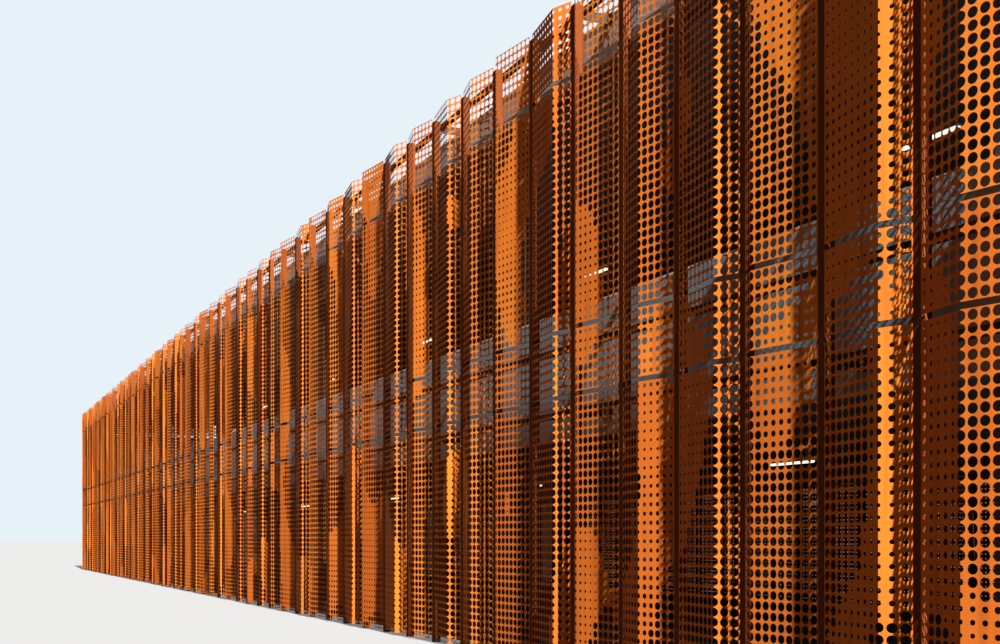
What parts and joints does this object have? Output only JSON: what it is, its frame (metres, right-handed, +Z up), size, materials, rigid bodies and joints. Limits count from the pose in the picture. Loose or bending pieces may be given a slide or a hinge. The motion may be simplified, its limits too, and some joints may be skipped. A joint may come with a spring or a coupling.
{
  "type": "1:2 scale model of an open-deck building with a folded perforated steel screen",
  "caption": "Long open-deck building of concrete slabs and columns, wrapped in a screen of folded, perforated weathering-steel panels on steel posts.",
  "frame": {"origin": "on the ground, in the middle of the plan", "axes": "+X along the building, towards the end that is nearest in the picture; the front screen faces -Y; +Z up"},
  "size_m": [32.512, 6.712, 4.067],
  "materials": {
    "weathering_steel": "rusted, matt, perforated weathering steel",
    "frame_steel": "dark brown, matt",
    "concrete": "plain grey cast concrete",
    "light_tray": "pale grey, satin",
    "light_cover": "white, lit from inside"
  },
  "bodies": {
    "root": {"back_band_panels": "weathering_steel", "back_ground_panels": "weathering_steel", "back_parapet_panels": "weathering_steel", "back_posts": "frame_steel", "back_rails": "frame_steel", "back_upper_panels": "weathering_steel", "end_guard_walls": "concrete", "end_roof_edges": "concrete", "first_floor_slab": "concrete", "floor_brackets": "frame_steel", "front_band_panels_left": "weathering_steel", "front_band_panels_right": "weathering_steel", "front_ground_panels_left": "weathering_steel", "front_ground_panels_right": "weathering_steel", "front_parapet_panels_left": "weathering_steel", "front_parapet_panels_right": "weathering_steel", "front_posts": "frame_steel", "front_rails": "frame_steel", "front_upper_panels_left": "weathering_steel", "front_upper_panels_right": "weathering_steel", "ground_slab": "concrete", "ground_storey_columns": "concrete", "ground_storey_light_covers": "light_cover", "ground_storey_light_rods": "light_tray", "ground_storey_light_trays": "light_tray", "left_band_panels": "weathering_steel", "left_ground_panels": "weathering_steel", "left_parapet_panels": "weathering_steel", "left_posts": "frame_steel", "left_rails": "frame_steel", "left_upper_panels": "weathering_steel", "long_guard_walls": "concrete", "long_roof_edges": "concrete", "right_band_panels": "weathering_steel", "right_ground_panels": "weathering_steel", "right_parapet_panels": "weathering_steel", "right_posts": "frame_steel", "right_rails": "frame_steel", "right_upper_panels": "weathering_steel", "roof_brackets": "frame_steel", "roof_slab": "concrete", "upper_storey_columns": "concrete", "upper_storey_light_covers": "light_cover", "upper_storey_light_trays": "light_tray"}
  },
  "joints": []
}
